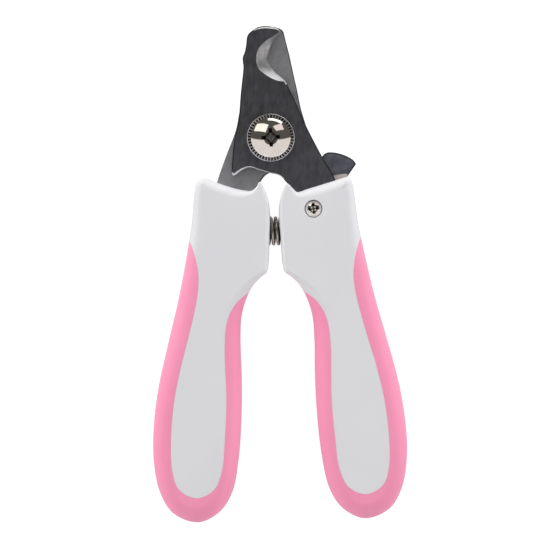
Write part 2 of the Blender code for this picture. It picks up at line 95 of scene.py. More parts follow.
PIVOT_X, PIVOT_Y, MID_Z = joint_place("handle_pivot")
PIVOT = (PIVOT_X, 0.0)
LOCK = (joint_place("lock_pivot").x, joint_place("lock_pivot").y - PIVOT_Y)
HANDLE_LOW, HANDLE_HIGH = heights("right_handle_core")
FRONT_LOW, FRONT_HIGH = heights("front_blade")
REAR_LOW, REAR_HIGH = heights("rear_blade")
LEVER_LOW, LEVER_HIGH = heights("lock_lever")
SPRING_LOW, SPRING_HIGH = (Vector(corner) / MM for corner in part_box("opening_spring"))
SPRING_Y, SPRING_Z = ((SPRING_LOW[i] + SPRING_HIGH[i]) / 2 for i in (1, 2))

# ---- Driving dimensions, in millimetres ----

TOUCH = 0.03  # gap between pieces that lie against each other
SEAM_GAP = 0.01  # the same between a core and the grip moulded on it
OVERCUT = 1.0  # how far a cutter reaches past what it cuts
EDGE = 0.3  # a blade's plain chamfer
INNER_EDGE = 0.08  # the chamfer on the side that slides on the other blade
LEVER_EDGE = 0.36  # the lock lever's outer one
CHAMFER_SLOPE = 0.7  # a chamfer's height over its width

PIVOT_HOLE = 3.05
ANCHOR_HOLE = 2.0

HEAD_LIFT = 0.3
HEAD_RIM = 0.45  # the dome starts this far and the lift above the washer
HEAD_CHAMFER = 0.1
SHOULDER_RADIUS = 2.75
THREAD_RADIUS = 2.3
THREAD_CHAMFER = 0.4
BOLT_RECESS = {"angle": 0.04, "arm": 5.9, "width": 1.05, "depth": 1.9, "flare": 2.5}
RING_SLOTS = 45
SLOT_INNER = 5.3
SLOT_OUTER = 6.14
SLOT_WIDTH = 0.44
SLOT_DEPTH = 0.6
NUT_ACROSS_FLATS = 8.0
NUT_CROWN = 0.96  # how much of the width across flats stays flat
THREAD_PLAY = 0.15
WASHER_FILLET = 0.12

SPRING_WIRE = 0.9
SPRING_TURNS = 11
CLOSED_PITCH = SPRING_WIRE * 1.02  # in the two end turns
POCKET_RADIUS = 4.4
POCKET_END = 7.5
SPIGOT_RADIUS = 2.4
SPIGOT_END = 4.0

SCREW_HOLE = 1.75
SCREW_SHANK = 1.45
COUNTERBORE_DEPTH = 2.2
COUNTERBORE_GAP = 0.04
SCREW_MOUTH = 0.07
PILOT_FLOOR = 1.2
SCREW_HEAD = 1.7
SCREW_DOME = 0.7
SCREW_RIM = 0.22  # the ring round its dome
SCREW_POINT = 0.8
SCREW_TURN = 0.14
SCREW_RECESS = {"angle": SCREW_TURN, "arm": 3.6, "width": 0.95, "depth": 1.1, "flare": 2.3}
TICK_DEPTH = 0.5
RIDGE_PLACE = (0.42, 0.42)
RIDGE_RADIUS = 0.3
RIDGE_RISE = 0.26
RIDGE_DEPTH = 0.3
RIDGE_FOOT = 1.3
LEVER_BOSS = 3.3
CATCH_REACH = 14.6
SLOT_BOSS_ROOM = 3.8
LEVER_SLOT_GAP = 0.4

SEAM_ROUND = 0.07  # how the core and the grip round off where they meet
FLANGE_REACH = 1.8
FLANGE_HALF_HEIGHT = 1.5
PADDLE_ROUND = 4.4


def edged(points, *widths):
    """The points with the same radius or bevels added to each."""
    return [(*p, *widths) for p in points]


# Each point is x, y and the radius of the long edge there
RIGHT_RIM = [
    # under the blades, from the outer corner to the inner peak
    (20, -11, 2.2), (18, -11.35, 2.4), (16.1, -11.95, 2.6), (12.8, -12.9, 2.6),
    (9, -13.95, 2.4), (6.2, -14.7, 1.6), (4.9, -13.6, 0.7), (3.6, -12.4, 0.4), (2.7, -13.4, 0.6),
    (1.7, -16.4, 1),
]
LEFT_RIM = [
    (19.7, -10.6, 2.1), (18.4, -10.35, 2.3), (17.2, -10.7, 2.5), (15.4, -11.55, 2.6),
    (12.8, -12.6, 2.6), (9.4, -13.6, 2.6), (7.4, -14, 2), (6.3, -14.15, 1.3), (5.65, -13.95, 0.9),
    (4.55, -12.95, 0.7), (3.8, -11.8, 0.4), (3.1, -12.4, 0.6), (1.7, -16.2, 1),
]
HANDLE_OUTLINE = [
    # the flat that faces the other handle, and the corner below it
    (1.2, -19.5, 1.4), (1.5, -27, 1.4), (1.9, -33.8, 1.2), (2.4, -35.9, 0.9), (3.9, -37.1, 1.2),
    # the inner side of the paddle
    (6.2, -39.4, 2.2), (8.2, -43.2, 3.6), (9.5, -47.8, 4.2),
    *edged([(9.9, -54), (9.8, -64), (10.2, -76), (11.2, -86), (12.9, -94)], PADDLE_ROUND),
    # the round end
    *edged([(16.3, -99.4), (22.2, -102.3), (28.9, -99.8)], PADDLE_ROUND),
    # the outer side
    *edged([(32.4, -94), (33.9, -85), (33.5, -75), (31.9, -65), (29.3, -54.5)], PADDLE_ROUND),
    (26.3, -43, 4.2), (24, -32.5, 3.6), (22.2, -22.5, 3), (21.3, -14.6, 2.5), (20.8, -12.1, 2.3),
]

# Where the hard core meets the soft grip, from the outer side round the paddle to the inner side
SEAM = [
    (25.6, -22.6), (22.9, -27), (21.8, -30), (21, -33.4), (20.65, -37.4), (21.2, -42.6),
    (23.5, -52), (26, -61), (28, -70.2), (29, -80), (28.9, -88), (27.2, -93.2),
    (22.6, -95.6), (18, -93.6), (15.7, -88.8), (14.7, -80.5), (14, -70), (14.1, -55),
    (13.2, -48.4), (10.8, -44), (7.6, -41.4), (6, -40.7), (2, -40.6),
]
SEAM_PADDLE = slice(4, 19)  # the points of the seam that the flange follows
AROUND_THE_TOP = [(-3, -36), (-3, -6), (27, -6)]

# Smooth stretches that meet in corners. A third number is the width of the outer face's bevel there,
# where it isn't the plain one, and a fourth the width of the inner face's
FRONT_BLADE = [
    [(2.75, 28.45), (2, 29.1, 0.3), (0.3, 29.5, 0.36), (-2, 29.6, 0.34), (-4, 29.15, 0.28),
     (-5.1, 28.5, 0.24), (-5.8, 27.85, 0.2), (-6.2, 27.05)],
    [(-6.2, 27.05), (-6.6, 24.3), (-6.95, 22.9), (-7.4, 21.9), (-7.5, 20.9), (-7.35, 19.2),
     (-8.2, 12.2), (-9.1, 4.2), (-10.2, 0), (-10.9, -5.5), (-11.2, -9, 0.25)],
    [(-11.2, -9, 0.25), (-10.75, -9.8, 0.46), (-10.05, -9.6, 0.54), (-8.5, -8.45, 0.4),
     (-6.4, -7.7, 0.22), (-4, -8.4, 0.15), (-0.9, -9.4, 0.15), (1.6, -10.1, 0.15), (3.8, -12.4)],
    [(3.8, -12.4), (4.6, -17), (6.6, -20), (9.2, -22.6)],
    [(9.8, -34)],
    [(17.4, -34), (17.7, -20), (16.4, -11.6), (13, -5.2), (9, 3), (7.5, 6.6),
     (5.6, 11.1), (3.8, 14.9)],
    [(2.2, 18.3)],
]
FRONT_ANCHOR = (13.6, -28.5)

REAR_BLADE = [
    [(-5.1, 28), (-4.6, 29, 0.2, 0.3), (-3.5, 29.7, 0.3, 0.3),
     *edged([(-2, 30), (-0.7, 30), (0.6, 29.8)], 0.4, 0.3),
     (2.2, 29.4, 0.3, 0.3), (3.2, 28.9, 0.2, 0.3), (3.65, 28.2, 0.3, 0.3)],
    [(3.65, 28.2, 0.3, 0.3),
     *edged([(4.3, 25.2), (5, 22.2), (6.1, 16.5), (7, 12), (7.7, 8), (8.8, 3.9), (9.6, 0.6),
             (10.3, -3.3)], EDGE, 0.28),
     (10.8, -8.2, 0.25)],
    [(10.8, -8.2, 0.25), (10.2, -9.2, 0.7), (9.3, -8.9, 0.75), (7.8, -7.8, 0.55),
     (5.8, -7.2, 0.3, 0.2), (3.4, -7.9, 0.2, 0.3), (-1.2, -9.4, 0.2, 0.3), (-2.2, -10, 0.2, 0.42),
     (-3.1, -11, 0.3, 0.45), (-3.8, -12.1, 0.3, 0.35), (-5.5, -13.9)],
    [(-5.5, -13.9), (-7, -18.6), (-9.2, -22.6)],
    [(-9.6, -34)],
    [(-16.9, -34), (-17, -20), (-15.2, -11.7), (-12.6, -4.6), (-9.8, 2.3), (-8.6, 7.5),
     (-6.8, 12.2), (-5.6, 14.6)],
    [(-4.3, 18)],
]
REAR_ANCHOR = (-13.2, -28.5)

# The front blade's hollow-ground edge: where it cuts, on the inner face, and where the grinding
# stops, on the outer face. The rear blade's is the same one turned over and moved
EDGE_CURVE = [
    (2.9, 28.6), (1.5, 26.9), (0.75, 25.9), (0.1, 24.8), (-0.4, 23.4), (-0.85, 22.1), (-1, 20.9),
    (-0.6, 20), (0.1, 18.9), (0.9, 17.7), (1.9, 16.8), (4.4, 14.7),
]
GRIND_CURVE = [
    (3.1, 28.7), (1.3, 27.4), (-0.9, 26.1), (-2.4, 24.8), (-3.4, 23.4), (-3.85, 21.6), (-3.8, 19.8),
    (-3, 18.2), (-1.6, 17), (0.1, 15.9), (1.8, 15.2), (4.2, 14.8),
]
REAR_EDGE_MOVE = Vector((-2.1, -0.3))
GRIND_OVERRUN = 0.4

# Where a blade's slanting faces belong to the hollow-ground edge, to the wave beside the hook, and to
# the tip. A face slants where the upright part of its normal is between the steepest and the flattest
HOLLOW_REACH = 4.6
HOLLOW_SPAN = (14.4, 28.8)
WAVE_SPAN = (-11, -6.5)
TIP_START = 28.2
TIP_STRIP_END = -4.3
FLATTEST = 0.97
STEEPEST = 0.15
STEEPEST_HOLLOW = 0.03

# The thumb tab's top, its outer edge, and the nose that points down beside the rear blade's hook
LEVER_TAB = [(13, -5.4), (14.2, -4.35), (16.2, -4.25), (19.2, -5.1), (21.4, -6.4), (22.2, -7.5)]
LEVER_TAB_EDGE = [(22.2, -7.5), (20.9, -9.3), (19.6, -11.1), (17.2, -15)]
LEVER_NOSE = [(7.3, -15.2), (8.4, -12)]
LEVER_STEP = [
    (14.9, -10.9), (16.9, -10.35), (19.75, -10.2), (19.4, -11.3), (18.6, -12.6), (14.9, -12.6),
]
LEVER_STEP_RISE = 0.12
LEVER_STEP_ROOT = 0.5
SLOT_INNER_SIDE = [(7, -8), (6.4, -15.2)]
SLOT_OUTER_SIDE = [(25, -16.6), (25, -8)]


# ---- Outlines ----


def smooth(points, per_span=6, closed=False):
    """Points along a smooth curve that passes through the given ones (a centripetal Catmull-Rom)."""
    through = [Vector(p) for p in points]
    if closed:
        line = [through[-1], *through, through[0], through[1]]
    else:
        line = [2 * through[0] - through[1], *through, 2 * through[-1] - through[-2]]
    curve = []
    for a, b, c, d in zip(line, line[1:], line[2:], line[3:]):
        knots = [0.0]
        for start, stop in ((a, b), (b, c), (c, d)):
            knots.append(knots[-1] + math.sqrt((stop - start).length))
        for step in range(per_span):
            t = knots[1] + (knots[2] - knots[1]) * step / per_span
            ab, bc, cd = (
                start.lerp(stop, (t - k0) / (k1 - k0))
                for start, stop, k0, k1 in zip((a, b, c), (b, c, d), knots, knots[1:])
            )
            abc = ab.lerp(bc, (t - knots[0]) / (knots[2] - knots[0]))
            bcd = bc.lerp(cd, (t - knots[1]) / (knots[3] - knots[1]))
            curve.append(tuple(abc.lerp(bcd, (t - knots[1]) / (knots[2] - knots[1]))))
    return curve if closed else [*curve, tuple(points[-1])]


def joined(stretches):
    """One closed outline of (x, y, outer bevel, inner bevel) points from stretches that are smooth and
    meet in corners."""
    outline = []
    for stretch in stretches:
        points = [(*p, *(EDGE, INNER_EDGE)[len(p) - 2:]) for p in stretch]
        run = smooth(points) if len(points) > 2 else points
        outline += run if not outline or run[0] != outline[-1] else run[1:]
    return outline


def arc(centre, radius, start, stop, steps):
    """Points on a circle between two angles in degrees."""
    angles = [math.radians(start + (stop - start) * i / steps) for i in range(steps + 1)]
    return [(centre[0] + radius * math.cos(a), centre[1] + radius * math.sin(a)) for a in angles]


def circle(centre, radius, steps=64):
    return arc(centre, radius, 0, 360, steps)[:-1]


def grown(outline, by):
    """The closed outline moved outwards by a distance, or inwards where that is negative."""
    bluntest = 0.6  # keeps the point of a sharp corner from running away
    points = [Vector(p[:2]) for p in outline]
    turn = sum(a.x * b.y - b.x * a.y for a, b in zip(points, points[1:] + points[:1]))
    side = by if turn > 0 else -by
    moved = []
    for before, here, after in zip(points[-1:] + points[:-1], points, points[1:] + points[:1]):
        first = (here - before).normalized()
        outwards = Vector((first.y, -first.x))
        along = first + (after - here).normalized()
        normal = Vector((along.y, -along.x)).normalized()
        moved.append(tuple(here + normal * side / max(bluntest, normal.dot(outwards))))
    return moved


def inner_line(outline):
    """For each (x, y, inset, ...) point, where it gets to when moved inwards by its inset. Points that
    would pass each other on the way, inside a tight corner, are held close together instead."""
    rounds, too_close, held = 400, 0.05, 0.04
    plan = [Vector(p[:2]) for p in outline]
    inner = [
        here + (Vector(moved) - here) * p[2]
        for here, moved, p in zip(plan, grown(outline, -1.0), outline)
    ]
    for _ in range(rounds):
        settled = True
        for i in range(len(plan)):
            along = plan[i] - plan[i - 1]
            if (inner[i] - inner[i - 1]).dot(along) < too_close * along.length_squared:
                middle = (inner[i] + inner[i - 1]) / 2
                inner[i - 1], inner[i] = middle - along * held, middle + along * held
                settled = False
        if settled:
            break
    return inner


def mirrored(outline, side):
    """The outline on the given side: 1 keeps it on the right, -1 turns it over to the left."""
    return [(side * p[0], *p[1:]) for p in outline]


# ---- Bodies ----


def in_scene(name, data):
    obj = bpy.data.objects.new(name, data)
    bpy.context.scene.collection.objects.link(obj)
    return obj


def from_bmesh(name, bm):
    """An object for a mesh drawn in plan millimetres, moved and scaled into the frame."""
    bmesh.ops.recalc_face_normals(bm, faces=bm.faces)
    mesh = bpy.data.meshes.new(name)
    bm.to_mesh(mesh)
    bm.free()
    mesh.transform(Matrix.Scale(MM, 4) @ Matrix.Translation((0.0, PIVOT_Y, 0.0)))
    return in_scene(name, mesh)


def loft(name, rings):
    """A closed body through rings of points, all with as many points."""
    bm = bmesh.new()
    made = [[bm.verts.new(point) for point in ring] for ring in rings]
    for lower, upper in zip(made, made[1:]):
        for i in range(len(lower)):
            bm.faces.new((lower[i - 1], lower[i], upper[i], upper[i - 1]))
    for ring in (made[0], made[-1]):
        bm.faces.new(ring)
    return from_bmesh(name, bm)


def prism(name, outline, low, high):
    return loft(name, [[(*p[:2], z) for p in outline] for z in (low, high)])


def flared(name, outline, sections):
    """A body whose outline is moved outwards by a given amount at each (amount, height)."""
    return loft(name, [[(*p, z) for p in grown(outline, by)] for by, z in sections])


def rounded_slab(name, outline, low, high, steps=8):
    """A slab whose long edges are rounded by the radius that each (x, y, radius) point gives."""
    inner = inner_line(outline)
    middle, half = (low + high) / 2, (high - low) / 2
    rings = []
    for side in (-1, 1):
        for step in range(steps, -1, -1) if side < 0 else range(steps + 1):
            angle = math.pi / 2 * step / steps
            ring = []
            for (x, y, radius), stop in zip(outline, inner):
                place = Vector((x, y)).lerp(stop, 1 - math.cos(angle))
                rise = half - radius * (1 - math.sin(angle))
                ring.append((*place, middle + side * rise))
            rings.append(ring)
    return loft(name, rings)


def bevelled_plate(name, outline, inner_z, outer_z):
    """A plate with each point's own bevels round its outer and its inner face."""
    outer_face = inner_line(outline)
    inner_face = inner_line([(*p[:2], p[3]) for p in outline])
    up = 1 if outer_z > inner_z else -1
    rings = [[], [], [], []]
    for (x, y, outer_bevel, inner_bevel), outer, inner in zip(outline, outer_face, inner_face):
        rings[0].append((*inner, inner_z))
        rings[1].append((x, y, inner_z + up * inner_bevel * CHAMFER_SLOPE))
        rings[2].append((x, y, outer_z - up * outer_bevel * CHAMFER_SLOPE))
        rings[3].append((*outer, outer_z))
    return loft(name, rings if up > 0 else rings[::-1])


def turned(name, profile, at, steps=96):
    """A turned piece on a vertical axis from (radius, height) points that run round its section."""
    bm = bmesh.new()
    made = [
        [bm.verts.new((*p, height)) for p in (circle(at, radius, steps) if radius else [at])]
        for radius, height in profile
    ]
    closed = len(made[0]) > 1
    for upper, lower in zip(made, made[1:] + (made[:1] if closed else [])):
        for i in range(steps):
            corners = [upper[(i - 1) % len(upper)], upper[i % len(upper)]]
            corners += [lower[i % len(lower)], lower[(i - 1) % len(lower)]]
            unique = list(dict.fromkeys(corners))
            if len(unique) > 2:
                bm.faces.new(unique)
    return from_bmesh(name, bm)


def rod_along_x(name, radius, start, stop):
    """A round rod on the spring's axis."""
    ring = circle((0.0, 0.0), radius)
    y, z = SPRING_Y - PIVOT_Y, SPRING_Z
    return loft(name, [[(x, y + a, z + b) for a, b in ring] for x in (start, stop)])


def wedge_bar(name, at, angle, top, bottom):
    """A tapered bar for a recess. Top and bottom are each length, width and height."""
    rings = []
    for length, width, z in (bottom, top):
        corners = [(s * length / 2, t * width / 2) for s, t in ((1, 1), (-1, 1), (-1, -1), (1, -1))]
        turn = Matrix.Rotation(angle, 2)
        rings.append([(*(turn @ Vector(c) + Vector(at)), z) for c in corners])
    return loft(name, rings)


def evaluated_mesh(obj):
    bpy.context.view_layer.update()
    evaluated = obj.evaluated_get(bpy.context.evaluated_depsgraph_get())
    return bpy.data.meshes.new_from_object(evaluated)


def applied(obj):
    """The object with its modifiers baked into its mesh."""
    mesh = evaluated_mesh(obj)
    obj.modifiers.clear()
    obj.data = mesh
    return obj


def shaped(obj, operation, *others):
    """Cuts, joins or intersects the object with the others, which are used up."""
    for other in others:
        modifier = obj.modifiers.new(other.name, "BOOLEAN")
        modifier.operation = operation
        modifier.solver = "EXACT"
        modifier.object = other
    applied(obj)
    for other in others:
        bpy.data.objects.remove(other, do_unlink=True)
    return obj


def shaded(obj, smooth_below=32):
    """Smooth shading that leaves flat faces flat."""
    mesh = obj.data
    mesh.shade_smooth()
    mesh.set_sharp_from_angle(angle=math.radians(smooth_below))
    weighted = obj.modifiers.new("weighted", "WEIGHTED_NORMAL")
    weighted.keep_sharp = True
    return applied(obj)


def given(obj, stands_for, body, slot, *materials):
    """Puts a piece in its node's place, on a body, with its materials. The slot is not used."""
    obj.data.materials.clear()
    for material in materials:
        obj.data.materials.append(material)
    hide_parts(stands_for)
    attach(obj, body)


def plated(obj, stands_for, *materials):
    given(obj, stands_for, "right_handle", "bright_plate", *materials)


# ---- Materials ----

NOISE_LOW, NOISE_HIGH = 0.3, 0.7  # where nearly all of a noise's values lie

# Marks in ground steel: their length and widths, their depth, and how much the patches count
LINE = (1.6, 0.09, 0.09)
STREAK = (4.0, 0.26, 0.26)
RING_LINE = 0.09
RING_STREAK = 0.22
RING_SHADES = (0.3, 0.46)
PATCH = (2.6, 1.7, 1.7)
PATCH_SHARE = 0.6
MARK_DEPTH = 0.006


def new_material(name):
    material = bpy.data.materials.new(name)
    material.use_nodes = True
    return material, material.node_tree


def added(tree, kind, **settings):
    """A new shader node in the tree."""
    node = tree.nodes.new("ShaderNode" + kind)
    for key, value in settings.items():
        setattr(node, key, value)
    return node


def filled_in(node, **values):
    """The node with constants in its inputs, whose names have _ for a space here."""
    for socket, value in values.items():
        node.inputs[socket.replace("_", " ")].default_value = value
    return node


class Look:
    """A material being put together: its nodes, all read from the piece's own coordinates."""

    def __init__(self, name, **sockets):
        self.material, self.tree = new_material(name)
        self.shader = self.tree.nodes["Principled BSDF"]
        self.place = self.node("TexCoord").outputs["Object"]
        filled_in(self.shader, **sockets)

    def node(self, kind, **settings):
        return added(self.tree, kind, **settings)

    def link(self, source, target):
        self.tree.links.new(source, target)

    def noise(self, size, detail=2.0, angle=0.0):
        """Noise with features of the given size in millimetres, each way, turned in plan."""
        mapping = self.node("Mapping", vector_type="TEXTURE")
        filled_in(mapping, Rotation=(0.0, 0.0, math.radians(angle)), Scale=[side * MM for side in size])
        noise = filled_in(self.node("TexNoise"), Scale=1.0, Detail=detail)
        self.link(self.place, mapping.inputs["Vector"])
        self.link(mapping.outputs["Vector"], noise.inputs["Vector"])
        return noise.outputs["Fac"]

    def rings(self, centre, size):
        """Fine lines round an upright axis that is given in plan millimetres."""
        in_plan = self.node("VectorMath", operation="MULTIPLY")
        in_plan.inputs[1].default_value = (1.0, 1.0, 0.0)
        distance = self.node("VectorMath", operation="DISTANCE")
        distance.inputs[1].default_value = (centre[0] * MM, (centre[1] + PIVOT_Y) * MM, 0.0)
        noise = self.node("TexNoise", noise_dimensions="1D")
        filled_in(noise, Scale=1.0 / (size * MM), Detail=2.0)
        self.link(self.place, in_plan.inputs[0])
        self.link(in_plan.outputs["Vector"], distance.inputs[0])
        self.link(distance.outputs["Value"], noise.inputs["W"])
        return noise.outputs["Fac"]

    def brighter_towards(self, value, start, stop, most):
        """The value with more added the nearer a place's y in plan is to the second of two: a painted
        light gradient.
        """
        split = self.node("SeparateXYZ")
        self.link(self.place, split.inputs["Vector"])
        rise = self.ranged(split.outputs["Y"], 0.0, most, (start + PIVOT_Y) * MM, (stop + PIVOT_Y) * MM)
        total = self.node("Math", operation="ADD")
        self.link(value, total.inputs[0])
        self.link(rise, total.inputs[1])
        return total.outputs["Value"]

    def ranged(self, value, low, high, start=NOISE_LOW, stop=NOISE_HIGH):
        made = self.node("MapRange")
        filled_in(made, From_Min=start, From_Max=stop, To_Min=low, To_Max=high)
        self.link(value, made.inputs["Value"])
        return made.outputs["Result"]

    def colour(self, value, dark, light):
        made = self.node("ValToRGB")
        first, last = made.color_ramp.elements
        first.position, last.position = NOISE_LOW, NOISE_HIGH
        first.color, last.color = (*dark, 1.0), (*light, 1.0)
        self.link(value, made.inputs["Fac"])
        self.link(made.outputs["Color"], self.shader.inputs["Base Color"])

    def bump(self, *heights):
        """Bumps one after another, each a value with its strength and its depth in millimetres."""
        normal = None
        for value, strength, depth in heights:
            made = filled_in(self.node("Bump"), Strength=strength, Distance=depth * MM)
            self.link(value, made.inputs["Height"])
            if normal:
                self.link(normal, made.inputs["Normal"])
            normal = made.outputs["Normal"]
        self.link(normal, self.shader.inputs["Normal"])

    def rough(self, value, low, high):
        self.link(self.ranged(value, low, high), self.shader.inputs["Roughness"])


def brushed_steel(name, dark, light, angle, rough, ring_centre=None, rise=None):
    """Steel with fine grinding lines along an angle in plan, or round a centre, and cloudier patches.
    A rise is painted light: the y where it starts to get paler, the y where it stops, and by how much."""
    look = Look(name, Metallic=0.75)
    if ring_centre:
        lines = look.rings(ring_centre, RING_LINE)
        streaks = look.rings(ring_centre, RING_STREAK)
    else:
        lines = look.noise(LINE, 3.0, angle)
        streaks = look.noise(STREAK, 3.0, angle)
    patches = look.noise(PATCH, 4.0, angle)
    mixed = filled_in(look.node("Mix"), Factor=PATCH_SHARE)
    look.link(streaks, mixed.inputs["A"])
    look.link(patches, mixed.inputs["B"])
    shade = mixed.outputs["Result"]
    if ring_centre:
        shade = look.ranged(shade, *RING_SHADES)
    # painted light: paler along y
    if rise:
        shade = look.brighter_towards(shade, *rise)
    look.colour(shade, dark, light)
    look.rough(streaks, *rough)
    look.bump((lines, 0.35, MARK_DEPTH), (streaks, 0.2, MARK_DEPTH))
    return look.material


def surface(name, tint_noise, dark, light, rough_noise, rough, bump_noise, bump, **sockets):
    """A material whose tint, roughness and bumps each follow a noise, which is given by its size, its
    detail and its angle."""
    look = Look(name, **sockets)
    look.colour(look.noise(*tint_noise), dark, light)
    look.rough(look.noise(*rough_noise), *rough)
    look.bump((look.noise(*bump_noise), *bump))
    return look.material


def bright_plate(name, dark, light, rough):
    """Nickel plate, or the shade that it has in slots and recesses."""
    return surface(
        name, [(2.5, 2.5, 2.5), 4.0], dark, light, [(0.9, 0.4, 0.6), 4.0, 30.0], rough,
        [(0.35, 0.05, 0.1), 2.0, 25.0], (0.06, 0.004), Metallic=1.0,
    )


# Its rise is painted light, paler towards the handles.
DARK_STEEL = brushed_steel(
    "dark_brushed_steel", (0.076, 0.076, 0.086), (0.16, 0.16, 0.18), 82.0, (0.3, 0.4),
    rise=(6.0, -4.0, 0.14),
)
# Its rise is painted light, paler towards the handles.
GREY_STEEL = brushed_steel(
    "grey_ground_steel", (0.36, 0.36, 0.38), (0.54, 0.54, 0.57), 42.0, (0.32, 0.42),
    rise=(0.0, -10.0, 0.14),
)
# Hollow-ground steel round the edge's centre; its rise is a painted highlight that turns the lower end
# of the hollow nearly white.
HOLLOW_STEEL = brushed_steel(
    "hollow_ground_steel", (0.22, 0.22, 0.23), (0.96, 0.96, 0.97), 0.0, (0.34, 0.44),
    ring_centre=(4.0, 21.5), rise=(19.0, 15.8, 0.34),
)
BRIGHT_BEVEL = brushed_steel(
    "bright_ground_bevel", (0.62, 0.62, 0.64), (0.84, 0.84, 0.86), 68.0, (0.34, 0.44),
)
TIP_BEVEL = brushed_steel("narrow_tip_bevel", (0.7, 0.7, 0.71), (0.92, 0.92, 0.93), 5.0, (0.34, 0.44))
# Near-black steel on chamfers: a painted shade.
EDGE_PAINTED_SHADE = brushed_steel(
    "edge_painted_shade", (0.012, 0.012, 0.014), (0.04, 0.04, 0.045), 10.0, (0.45, 0.6),
)
LEVER_STEEL = brushed_steel(
    "slate_brushed_steel", (0.13, 0.138, 0.172), (0.31, 0.32, 0.38), 25.0, (0.3, 0.4),
)
STEP_STEEL = brushed_steel("pale_step_steel", (0.8, 0.74, 0.7), (0.98, 0.93, 0.89), 5.0, (0.45, 0.55))
WHITE_PLASTIC = surface(
    "white_satin_plastic", [(22.0, 30.0, 22.0)], (0.628, 0.634, 0.66), (0.654, 0.656, 0.676),
    [(1.5, 1.5, 1.5), 3.0], (0.3, 0.38), [(0.12, 0.12, 0.12)], (0.1, 0.01),
    IOR=1.49, Subsurface_Weight=0.06, Subsurface_Scale=0.002, Subsurface_Radius=(1.0, 0.9, 0.85),
)
PINK_RUBBER = surface(
    "pink_soft_rubber", [(9.0, 26.0, 14.0), 3.0], (0.79, 0.252, 0.402), (0.82, 0.276, 0.432),
    [(0.8, 0.8, 0.8), 3.0], (0.5, 0.62), [(0.1, 0.1, 0.1)], (0.22, 0.014),
    IOR=1.5, Sheen_Weight=0.25, Sheen_Roughness=0.45, Sheen_Tint=(1.0, 0.8, 0.88, 1.0),
)
CHROME = bright_plate("bright_nickel_plate", (0.86, 0.82, 0.78), (0.92, 0.89, 0.86), (0.05, 0.1))
BACK_PLATE = bright_plate("dull_nickel_plate", (0.66, 0.65, 0.63), (0.78, 0.77, 0.75), (0.18, 0.3))
WASHER_PLATE = bright_plate("satin_nickel_plate", (0.84, 0.83, 0.84), (0.95, 0.94, 0.94), (0.28, 0.36))
SLOT_PLATE = bright_plate("shaded_slot_plate", (0.03, 0.028, 0.026), (0.08, 0.072, 0.068), (0.4, 0.5))
RECESS_PLATE = bright_plate(
    "shaded_recess_plate", (0.1, 0.092, 0.086), (0.26, 0.24, 0.22), (0.16, 0.26),
)
RIDGE_PLATE = bright_plate("glinting_ridge_plate", (0.93, 0.92, 0.9), (0.98, 0.97, 0.96), (0.45, 0.55))
# The lock screw's rim ring: painted shade with a painted warm reflection.
RIM_PAINTED_SHADE = bright_plate("rim_painted_shade_plate", (0.42, 0.36, 0.32), (0.62, 0.55, 0.5), (0.3, 0.42))
SPRING_STEEL = surface(
    "drawn_spring_wire", [(0.5, 0.5, 0.5), 3.0], (0.5, 0.47, 0.43), (0.66, 0.63, 0.6),
    [(0.3, 0.3, 0.3), 3.0], (0.14, 0.26), [(0.25, 0.06, 0.06)], (0.12, 0.006), Metallic=1.0,
)


# ---- Blades ----


def grind(name, edge, edge_z, face, face_z, reach):
    """The slanting surface that hollows out a cutting edge, from the edge's curve on the inner face to
    the ground curve on the outer face, and a little beyond each. It reaches out to the given x."""
    rings = []
    for t in (-GRIND_OVERRUN, 1 + GRIND_OVERRUN):
        ring = [Vector(a).lerp(Vector(b), t) for a, b in zip(smooth(edge, 12), smooth(face, 12))]
        ring += [Vector((reach, ring[-1].y - 1)), Vector((reach, ring[0].y + 1))]
        rings.append([(*p, edge_z + t * (face_z - edge_z)) for p in ring])
    return loft(name, rings)


def turned_over(curve):
    """The front blade's edge curve as the rear blade has it."""
    return [tuple(Vector((-x, y)) + REAR_EDGE_MOVE) for x, y in curve]


def mark_bevels(obj, hollow_x):
    """Gives the slanting faces their materials: the hollow edge, the bright wave, the tip, and the
    rest, in a painted shade.
    """
    for face in obj.data.polygons:
        x, y, z = face.center.x / MM, face.center.y / MM - PIVOT_Y, face.center.z / MM
        tilt = abs(face.normal.z)
        in_hollow = abs(x - hollow_x) < HOLLOW_REACH and HOLLOW_SPAN[0] < y < HOLLOW_SPAN[1]
        if in_hollow and STEEPEST_HOLLOW < tilt < FLATTEST:
            face.material_index = 1
        elif STEEPEST < tilt < FLATTEST:
            face.material_index = 4
            if WAVE_SPAN[0] < y < WAVE_SPAN[1] and face.normal.y < -0.1 and z > FRONT_LOW:
                face.material_index = 2
            elif y > TIP_START and x > TIP_STRIP_END:
                face.material_index = 3


def blade(name, outline, inner_z, outer_z, body, slot, steel, tip, painted_shade_edge, hollow, hollow_x, holes):
    """A bevelled plate with its holes and its hollow-ground edge, which is round the given x."""
    obj = bevelled_plate("fine_" + name, outline, inner_z, outer_z)
    low, high = sorted((inner_z, outer_z))
    drills = [
        prism(f"{name}_hole_{i}", circle(at, radius), low - OVERCUT, high + OVERCUT)
        for i, (at, radius) in enumerate(holes)
    ]
    shaped(obj, "DIFFERENCE", hollow, *drills)
    shaded(obj)
    given(obj, name, body, slot, steel, HOLLOW_STEEL, BRIGHT_BEVEL, tip, painted_shade_edge)
    mark_bevels(obj, hollow_x)


